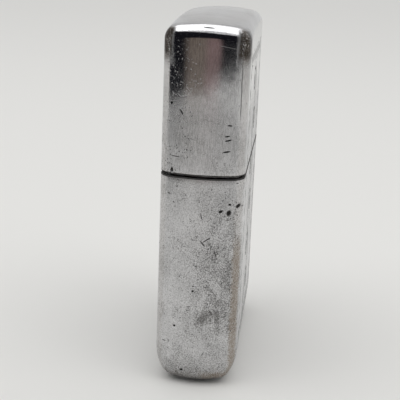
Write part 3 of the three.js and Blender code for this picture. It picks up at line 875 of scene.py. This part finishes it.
insert_low, insert_high = box_mm("insert_case")
DECK_LOW, DECK = [corner.z for corner in box_mm("insert_deck")]
SHEET = 0.6  # the deck's thickness
SLEEVE = 0.45
INSERT_SIDE = SIDE_RADIUS - WALL - SEAT - LEAF - PLAY
INSERT_PLAN = (insert_low.x, insert_high.x, insert_high.y, INSERT_SIDE, CORNER_RADIUS - WALL - 0.4)
screen_low, screen_high = box_mm("windscreen")
CHIMNEY = (-11.0, 4.5, 5.05, 9.0, 2.4)  # a plan, as plan_ring reads it
CHIMNEY_WALL = 0.5
wheel_low, wheel_high = box_mm("striker_wheel")
WHEEL = (wheel_low + wheel_high) / 2
WHEEL_RADIUS = wheel_high.x - WHEEL.x
WHEEL_BORE = 0.9
rivet_low, rivet_high = box_mm("cam_rivet")
CAM = (rivet_low + rivet_high) / 2
CAM_HALF = box_mm("cam_lever")[1].y
CAM_BORE = 0.85
CAM_REACH = 4.18  # how far the cam's slot and window reach from its pivot
EAR_PLAY = 0.15
WICK_X = -3.2
THROUGH = 9.0  # half the length of a cut that goes right through


def tube_wall(name, plan, wall, low, high, rim, steps=PLAN_STEPS):
    """A plan's wall between two heights, with rounded rims."""
    rings = rolled_edge(plan, 0.0, low, rim, 1, 1, 4, steps)[::-1]
    rings += rolled_edge(plan, 0.0, high, rim, 1, -1, 4, steps)
    rings += rolled_edge(plan, wall, high, rim, -1, -1, 4, steps)[::-1]
    rings += rolled_edge(plan, wall, low, rim, -1, 1, 4, steps)
    return outward(loft(name, rings, closed=True))


def sleeve(material):
    obj = tube_wall("sleeve", INSERT_PLAN, SLEEVE, insert_low.z, insert_high.z, 0.12)
    show(obj, "insert_case", material)


def deck(material):
    """A shallow cup, mouth down, with holes for the wick and the flint tube and a slot for the cam."""
    skirt = SLEEVE + SEAT
    wick_hole, tube_hole, slot_start = 1.82, 1.85, CAM.x - 1.6
    lid = column("deck", INSERT_PLAN, skirt, DECK_LOW, DECK)
    inside = column("inside", INSERT_PLAN, skirt + SLEEVE, DECK_LOW - 1, DECK - SHEET)
    half = CAM_HALF + 2 * EAR_PLAY
    slot = block((slot_start, -half, DECK - THROUGH), (CAM.x + CAM_REACH, half, DECK + THROUGH))
    holes = [
        drill(wick_hole, 5, "z", (WICK_X, 0, DECK), 64),
        drill(tube_hole, 5, "z", (WHEEL.x, 0, DECK), 64),
    ]
    cut(lid, inside, *holes, slot)
    show(lid, "insert_deck", material, bevel=0.12)


def ear(axle, side, gap_half, end_x, radius):
    """One plate that carries an axle's end, out of the chimney's narrow side and up from the deck."""
    away = math.copysign(1, axle.x - end_x)
    foot = DECK + SEAT
    crown, y = CHIMNEY[3], gap_half + CHIMNEY_WALL
    bow = crown - math.sqrt(crown**2 - y**2)
    wall_x = end_x - away * (bow + CHIMNEY_WALL - 0.05)
    angles = np.linspace(0, TURN / 4, 17)
    outline = [(wall_x, foot), (axle.x + away * 1.5 * radius, foot)]
    outline += [(axle.x + away * radius * math.cos(a), axle.z + radius * math.sin(a)) for a in angles]
    outline += [(wall_x, axle.z + radius)]
    near, far = gap_half, gap_half + CHIMNEY_WALL
    return plate("ear", outline, *((near, far) if side > 0 else (-far, -near)))


def vents():
    """Drills for the chimney's holes: rows of three, two and three."""
    radius, pitch, drop = 1.25, 3.9, 3.3
    middle = (CHIMNEY[0] + CHIMNEY[1]) / 2
    drills = []
    for row, count in enumerate((3, 2, 3)):
        z = screen_high.z - 3 - row * drop
        for i in range(count):
            at = (middle + (i - (count - 1) / 2) * pitch, 0, z)
            drills.append(drill(radius, THROUGH, "y", at))
    return drills


def windscreen(material):
    """The chimney, open towards the wheel and the cam, with two pairs of ears."""
    foot = screen_low.z
    body = tube_wall("screen", CHIMNEY, CHIMNEY_WALL, foot, screen_high.z, 0.1, (20, 16, 24))
    wheel_gap, cam_gap = wheel_high.y + EAR_PLAY, CAM_HALF + EAR_PLAY
    over_wheel = WHEEL.z + WHEEL_RADIUS + 0.5
    windows = [
        block((0, -wheel_gap, foot - 5), (WHEEL.x, wheel_gap, over_wheel)),
        block((CAM.x, -cam_gap, foot - 5), (CHIMNEY[0] + 2, cam_gap, CAM.z + CAM_REACH)),
    ]
    cut(body, *windows)
    ears = [ear(WHEEL, side, wheel_gap, CHIMNEY[1], 2.8) for side in (-1, 1)]
    ears += [ear(CAM, side, cam_gap, CHIMNEY[0], 2.1) for side in (-1, 1)]
    join(body, *ears)
    bores = [
        drill(WHEEL_BORE, THROUGH, "y", tuple(WHEEL), 40),
        drill(CAM_BORE, THROUGH, "y", tuple(CAM), 40),
    ]
    cut(body, *vents(), *bores)
    show(body, "windscreen", material, bevel=0.08)


def striker_wheel(material):
    """A wheel cut across with slanting teeth both ways, dished on its sides round a hub."""
    half, teeth, deep, slant = wheel_high.y, 30, 0.3, 1.1
    hub, web, dish = WHEEL_BORE + 0.9, 2.9, 0.25
    sides = teeth * 12
    angle = np.arange(sides) * TURN / sides

    def ring(radius, y):
        x, z = WHEEL.x + radius * np.cos(angle), WHEEL.z + radius * np.sin(angle)
        return np.stack([x, np.full(sides, y), z], 1)

    def face(sign):
        steps = [(WHEEL_BORE, 0.0), (hub, 0.0), (hub + 0.2, dish), (web, dish), (web + 0.25, 0.0)]
        return [ring(r, sign * (half - depth)) for r, depth in steps]

    rim = []
    for y in np.linspace(-half, half, 41):
        one, two = [np.abs(np.sin(teeth / 2 * angle + lean * y)) for lean in (slant, -slant)]
        tooth = np.clip(1.25 * ((one + two) / 2) ** 0.8, 0, 1)
        chamfer = max(0.0, abs(y) - (half - 0.35))
        rim.append(ring(WHEEL_RADIUS - deep * (1 - tooth) - chamfer, y))
    wheel = outward(loft("wheel", [*face(-1), *rim, *face(1)[::-1]], closed=True))
    co = np.array([v.co for v in wheel.data.vertices]) / MM
    reach = np.hypot(co[:, 0] - WHEEL.x, co[:, 2] - WHEEL.z)
    mark(wheel, "wear", np.clip((reach - WHEEL_RADIUS + deep) / deep, 0, 1))
    show(wheel, "striker_wheel", material)


def rivet(node, radius, at, material):
    """A pin with a domed head at each end."""
    head, tall = 1.7 * radius, 0.4
    angles = np.linspace(TURN / 4, 0, 9)
    dome = [(head * math.cos(a), tall * (0.25 + 0.75 * math.sin(a))) for a in angles]
    start = box_mm(node)[1].y - tall
    profile = [(r, -start - rise) for r, rise in dome] + [(head, -start), (radius, -start)]
    profile += [(r, -y) for r, y in profile[::-1]]
    show(turned("rivet", profile, "y", (at.x, 0, at.z), 48), node, material)


def link(start, start_radius, end, end_radius):
    """The outline, in X and Z, round two circles."""
    across = np.subtract(end, start)
    heading = math.atan2(across[1], across[0])
    spread = math.acos((start_radius - end_radius) / np.hypot(*across))
    first = arc(*start, start_radius, heading + spread, heading - spread + TURN, 33)
    second = arc(*end, end_radius, heading - spread, heading + spread, 25)
    return np.concatenate([first, second])


def cam_lever(material):
    """A hub with an arm to the nose, which the lid rides on, and a heel to the tail."""
    hub, hub_radius, tip_radius = (CAM.x, CAM.z), 1.9, 0.9
    nose = (CAM.x - 2.2, CAM.z + 4.6)
    tail = (CAM.x + 0.2, CAM.z - 3.45)
    arm = plate("cam", link(hub, hub_radius, nose, tip_radius), -CAM_HALF, CAM_HALF)
    heel = plate("heel", link(hub, 0.95 * hub_radius, tail, tip_radius + 0.05), -CAM_HALF, CAM_HALF)
    join(arm, heel)
    cut(arm, drill(CAM_BORE, THROUGH, "y", (CAM.x, 0, CAM.z)))
    z = np.array([v.co.z for v in arm.data.vertices]) / MM
    mark(arm, "wear", np.where(z < CAM.z - 3.2, 0.9, 0.35))
    show(arm, "cam_lever", material, bevel=0.16, segments=3)


def cam_spring(material):
    """A leaf under the deck, flat on the right and bent under the cam's tail."""
    under, leaf = DECK - SHEET - SEAT, 0.35
    half = box_mm("cam_spring")[1].y
    x = np.array([6.8, 4.9, 2.4, 0.2, -1.6])  # from the cam's pivot
    drop = np.array([leaf / 2, leaf / 2, 0.75, 0.95, 0.8])  # to the middle of the leaf
    at = np.linspace(x.max(), x.min(), 49)
    line = np.stack([CAM.x + at, under - smooth_through(x, drop, at)], 1)
    ahead = np.gradient(line, axis=0)
    ahead /= np.linalg.norm(ahead, axis=1)[:, None]
    side = np.stack([-ahead[:, 1], ahead[:, 0]], 1) * leaf / 2
    spring = plate("spring", np.concatenate([line + side, (line - side)[::-1]]), -half, half)
    mark(spring, "wear", np.full(len(spring.data.vertices), 0.5))
    show(spring, "cam_spring", material, bevel=0.06)


def smooth_through(x, z, at):
    """Heights between given points, eased so that the curve has no corners."""
    order = np.argsort(x)
    fine = np.linspace(x.min(), x.max(), 200)
    rough = np.interp(fine, x[order], z[order])
    window = np.hanning(41)
    padded = np.pad(rough, 20, mode="edge")
    return np.interp(at, fine, np.convolve(padded, window / window.sum(), mode="valid"))


# ---- The flint train ----

TUBE_BORE = 1.35
tube_low, tube_high = box_mm("flint_tube")
flint_low, flint_high = box_mm("flint")
plunger_low, plunger_high = box_mm("flint_plunger")
spring_low, spring_high = box_mm("flint_spring")
screw_low, screw_high = box_mm("flint_screw")
FLINT_RADIUS = flint_high.y


def flint_tube(material):
    outer, inner, flare = tube_high.y, TUBE_BORE, 0.15
    low, high = tube_low.z, tube_high.z
    profile = [(inner + flare, low), (outer, low), (outer, high - flare), (outer - flare, high)]
    profile += [(inner + flare / 2, high), (inner, high - flare), (inner, low + flare)]
    rings = [circle(r, 48, "z", (WHEEL.x, 0, z)) for r, z in profile]
    show(outward(loft("tube", rings, closed=True)), "flint_tube", material, bevel=0.05)


def bar_profile(radius, low, high, edge):
    return [(radius - edge, low), (radius, low + edge), (radius, high - edge), (radius - edge, high)]


def flint(material):
    """A flint worn to the wheel's curve on top."""
    body = turned("flint", bar_profile(FLINT_RADIUS, flint_low.z, flint_high.z, 0.1), "z", (WHEEL.x, 0, 0))
    cut(body, drill(WHEEL_RADIUS + 0.1, 3, "y", tuple(WHEEL), 96))
    show(body, "flint", material, bevel=0.04)


def flint_plunger(material):
    stem, shoulder, bevel, edge = 0.55, plunger_low.z + 1.2, 0.4, 0.08
    profile = bar_profile(stem, plunger_low.z, shoulder, 0.1)[:3]
    profile += [(stem + 0.1, shoulder), (FLINT_RADIUS - edge, shoulder), (FLINT_RADIUS, shoulder + edge)]
    profile += [(FLINT_RADIUS, plunger_high.z - bevel), (FLINT_RADIUS - bevel, plunger_high.z)]
    show(turned("plunger", profile, "z", (WHEEL.x, 0, 0)), "flint_plunger", material)


def flint_spring(material):
    """A coil with its end turns close together."""
    wire, turns, end, travel = 0.17, 15, 0.07, 1.5
    coil = spring_high.y - wire
    share = np.linspace(0, 1, turns * 40 + 1)
    eased = np.clip((share - end) / (1 - 2 * end), 0, 1)
    low, high = spring_low.z + wire, spring_high.z - wire
    closed = 2.2 * wire * turns
    climb = np.minimum(share, end) + np.maximum(share - 1 + end, 0)
    z = low + closed * climb + eased * (high - low - 2 * closed * end)
    angle = share * turns * TURN
    path = np.stack([WHEEL.x + coil * np.cos(angle), coil * np.sin(angle), z], 1)
    spring = show(sweep("spring", path, wire, 10), "flint_spring", material)
    held = spring_low.z - 0.1
    share = 1 - travel / (spring_high.z - held)
    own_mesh(spring)


def flint_screw(material):
    """A slotted screw with a knurled head and a grooved shank."""
    low, high, head = screw_low.z, screw_high.z, screw_high.y
    bevel, top, shank = 0.3, low + 1.5, TUBE_BORE - 0.1
    pitch, groove = 0.4, 0.15
    slot_half, slot_depth = 0.35, 0.7
    sides = 192
    angle = np.arange(sides) * TURN / sides
    knurl = 1 - 0.035 * (0.5 + 0.5 * np.cos(48 * angle)) ** 2

    def ring(radius, z):
        return circle(radius, sides, "z", (WHEEL.x, 0, z))

    rings = [ring(head - bevel, low), ring(0.97 * head, low + bevel)]
    rings += [ring(head * knurl, z) for z in np.linspace(low + bevel + 0.05, top - 0.15, 5)]
    rings += [ring(head - 0.1, top), ring(shank, top)]
    z = top + 0.3
    while z + pitch < high - 0.2:
        rings += [ring(shank, z), ring(shank - groove, z + pitch / 2)]
        z += pitch
    rings += [ring(shank, z), ring(shank, high - 0.1), ring(shank - 0.1, high)]
    screw = loft("screw", rings)
    left, right = WHEEL.x - 2 * head, WHEEL.x + 2 * head
    cut(screw, block((left, -slot_half, low - 1), (right, slot_half, low + slot_depth)))
    show(screw, "flint_screw", material, bevel=0.03)


# ---- The soft pieces ----

wick_low, wick_high = box_mm("wick")
WICK_RADIUS = wick_high.y


def braid(angle, distance):
    """A plaited surface, as a share of the radius: crossing strands that pass over and under."""
    strands, lay = 8, 4.2
    climb = distance / lay * TURN
    one = np.cos(strands / 2 * (angle - climb / 2))
    two = np.cos(strands / 2 * (angle + climb / 2))
    return 0.9 + 0.1 * np.maximum(np.abs(one), np.abs(two))


def wick(material):
    """A braided rope through the packing in two gentle bends, then straight up the chimney."""
    straight, low = DECK - 4, wick_low.z + 0.5 * WICK_RADIUS
    share = np.linspace(0, 1, 90)
    sway = 2.2 * np.sin(TURN * share)
    bends = np.stack([WICK_X + sway, 0 * share, low + (straight - low) * share], 1)
    upper = np.linspace(straight, wick_high.z, 60)[1:]
    rise = np.stack([np.full(len(upper), WICK_X), 0 * upper, upper], 1)
    path = np.concatenate([bends, rise])
    coarse, fine = np.linspace(0, 1, len(path)), np.linspace(0, 1, 400)
    path = np.stack([np.interp(fine, coarse, column) for column in path.T], 1)
    rope = sweep("wick", path, WICK_RADIUS, 64, braid)
    fray(rope, wick_high.z - 1.2)
    show(rope, "wick", material)


def fray(obj, start):
    """Loosens the top of a rope: its points stray a little more the higher they are."""
    noise.seed_set(1)  # the clock would seed noise_vector otherwise
    for vertex in obj.data.vertices:
        over = vertex.co.z / MM - start
        if over > 0:
            stray = noise.noise_vector(Vector(vertex.co) / MM * 2.5)
            vertex.co.z += min(0, stray.z) * 0.5 * over * MM
            vertex.co.x -= abs(stray.x) * 0.12 * over * (vertex.co.x - WICK_X * MM)


def soft_piece(node, material, voxel, rough):
    """A fibrous piece: its CAD solid rebuilt finely, then its surface sunk unevenly."""
    obj = placed(node, frame["nodes"][node].data.copy())
    remesh = obj.modifiers.new("remesh", "REMESH")
    remesh.mode = "VOXEL"
    remesh.voxel_size = voxel * MM
    settle(obj)
    obj.modifiers.new("smooth", "SMOOTH").iterations = 3
    settle(obj)
    mesh = obj.data
    moves = []
    for vertex in mesh.vertices:
        place = vertex.co / MM
        lump = noise.fractal(place * 0.5, 1.0, 2.0, 3)
        tuft = noise.fractal(place * 2.2, 0.8, 2.1, 3)
        depth = rough * (0.5 + 0.5 * lump) + 0.35 * rough * (0.5 + 0.5 * tuft)
        moves.append(vertex.co - vertex.normal * max(0.0, depth) * MM)
    for vertex, place in zip(mesh.vertices, moves):
        vertex.co = place
    mesh.shade_smooth()
    show(obj, node, material)


def soft_pieces(packing, pad):
    for node in sorted(slots):
        if node.startswith("cotton_ball"):
            soft_piece(node, packing, 0.35, 0.3)
    soft_piece("felt_pad", pad, 0.3, 0.06)


# ---- The stage ----


def stage_material(name, colour):
    material = bpy.data.materials.new(name)
    material.use_nodes = True
    shader = material.node_tree.nodes["Principled BSDF"]
    shader.inputs["Base Color"].default_value = (*colour, 1)
    shader.inputs["Roughness"].default_value = 0.9
    shader.inputs["Specular IOR Level"].default_value = 0.0
    return material


def floor():
    reach = 3000.0
    points = [(-reach, -reach, 0), (reach, -reach, 0), (reach, reach, 0), (-reach, reach, 0)]
    obj = new_object("floor", points, [(0, 1, 2, 3)])
    obj.data.materials.append(stage_material("floor", (0.785, 0.778, 0.752)))


def card(name, stops, low, high, material, shades=False):
    """An upright screen through stops of a bearing from +X and a distance. Reflections always see it."""
    line = [
        (math.cos(math.radians(bearing)) * far, math.sin(math.radians(bearing)) * far)
        for bearing, far in stops
    ]
    count = len(line)
    points = [(x, y, z) for z in (low, high) for x, y in line]
    faces = [(i, i + 1, i + 1 + count, i + count) for i in range(count - 1)]
    obj = new_object(name, points, faces)
    obj.data.materials.append(material)
    obj.visible_camera = False
    obj.visible_diffuse = shades
    obj.visible_shadow = shades


def dim_room():
    """Black at both sides, with soft warm tones between that end below eye level."""
    f = Finish("dim_room")
    dim = (0.012, 0.012, 0.016)
    bearing = f.math("ARCTAN2", f.y, f.x) * math.degrees(1)
    bearing = bearing + 10 * (f.noise(0.02, 2.0) - 0.5)
    beige, pink = (0.25, 0.205, 0.175), (0.31, 0.215, 0.21)
    colour = f.tint(f.step(bearing, -29, -19), dim, beige)
    colour = f.tint(f.step(bearing, -10, 0), colour, pink)
    colour = f.tint(f.step(bearing, 5, 14), colour, dim)
    colour = f.tint(f.step(f.z, 34, 62), colour, dim)
    return f.surface(colour, 0.0, 0.9, 0.0, **{"Specular IOR Level": 0.0})


def cards():
    room = dim_room()
    card("screen_low", [(-72, 256), (-23, 268), (11, 320), (30, 356), (60, 410)], 0, 300, room)
    card("screen_high", [(-50, 430), (0, 450), (50, 480)], 90, 390, room, shades=True)
    grey = stage_material("wall", (0.86, 0.86, 0.86))
    card("wall", [(130, 1500), (230, 1500)], 0, 1300, grey)


def area(name, at, toward, size, power, shades=True):
    """A softbox. Its first size lies along X when it faces down. Reflections always see it."""
    lamp = bpy.data.lights.new(name, "AREA")
    lamp.shape = "RECTANGLE"
    lamp.size, lamp.size_y = size
    lamp.energy = power
    obj = placed(name, lamp)
    obj.location = at
    obj.rotation_mode = "QUATERNION"
    obj.rotation_quaternion = (Vector(toward) - Vector(at)).to_track_quat("-Z", "Y")
    obj.visible_camera = False
    obj.visible_diffuse = shades


def lights():
    area("softbox", (0.16, 0.0, 0.62), (0.16, 0.0, 0.0), (0.36, 0.97), 1.6)
    area("softbox_back", (-0.23, 0.0, 0.62), (-0.23, 0.0, 0.0), (0.42, 0.97), 1.55, shades=False)
    world = bpy.data.worlds.new("studio")
    bpy.context.scene.world = world
    world.use_nodes = True
    back = world.node_tree.nodes["Background"]
    back.inputs["Color"].default_value = (0.985, 0.99, 1.0, 1)
    back.inputs["Strength"].default_value = 0.81


def camera():
    """The photograph's viewpoint: near, a little above, and facing the opening side."""
    azimuth, elevation = math.radians(95.2), math.radians(15.15)
    roll, distance = math.radians(2.38), 152.3 * MM
    data = bpy.data.cameras.new("camera")
    data.sensor_width = 36
    data.lens = 81.8
    data.shift_x, data.shift_y = -0.030, -0.047
    data.clip_start, data.clip_end = 0.005, 20
    obj = placed("camera", data)
    level = math.cos(elevation)
    back = Vector((math.sin(azimuth) * level, -math.cos(azimuth) * level, math.sin(elevation)))
    obj.location = Vector((0, 0, HEIGHT / 2 * MM)) + back * distance
    obj.rotation_mode = "QUATERNION"
    facing = (-back).to_track_quat("-Z", "Y")
    obj.rotation_quaternion = facing @ Quaternion((0, 0, 1), roll)
    bpy.context.scene.camera = obj


def lighter():
    steel, dark, brass = insert_steel(), hard_steel(), plain_brass()
    case_and_lid(worn_chrome())
    hinge(steel)
    sleeve(steel)
    deck(steel)
    windscreen(steel)
    striker_wheel(dark)
    rivet("wheel_axle", WHEEL_BORE - SEAT, WHEEL, steel)
    rivet("cam_rivet", CAM_BORE - SEAT, CAM, steel)
    cam_lever(dark)
    cam_spring(dark)
    flint_tube(brass)
    flint(flint_alloy())
    flint_plunger(brass)
    flint_spring(steel)
    flint_screw(brass)
    wick(cotton("wick", char_from=wick_high.z - 1.8))
    soft_pieces(cotton(), felt())


bpy.context.scene.view_settings.view_transform = "Standard"
camera()
lights()
floor()
cards()
lighter()
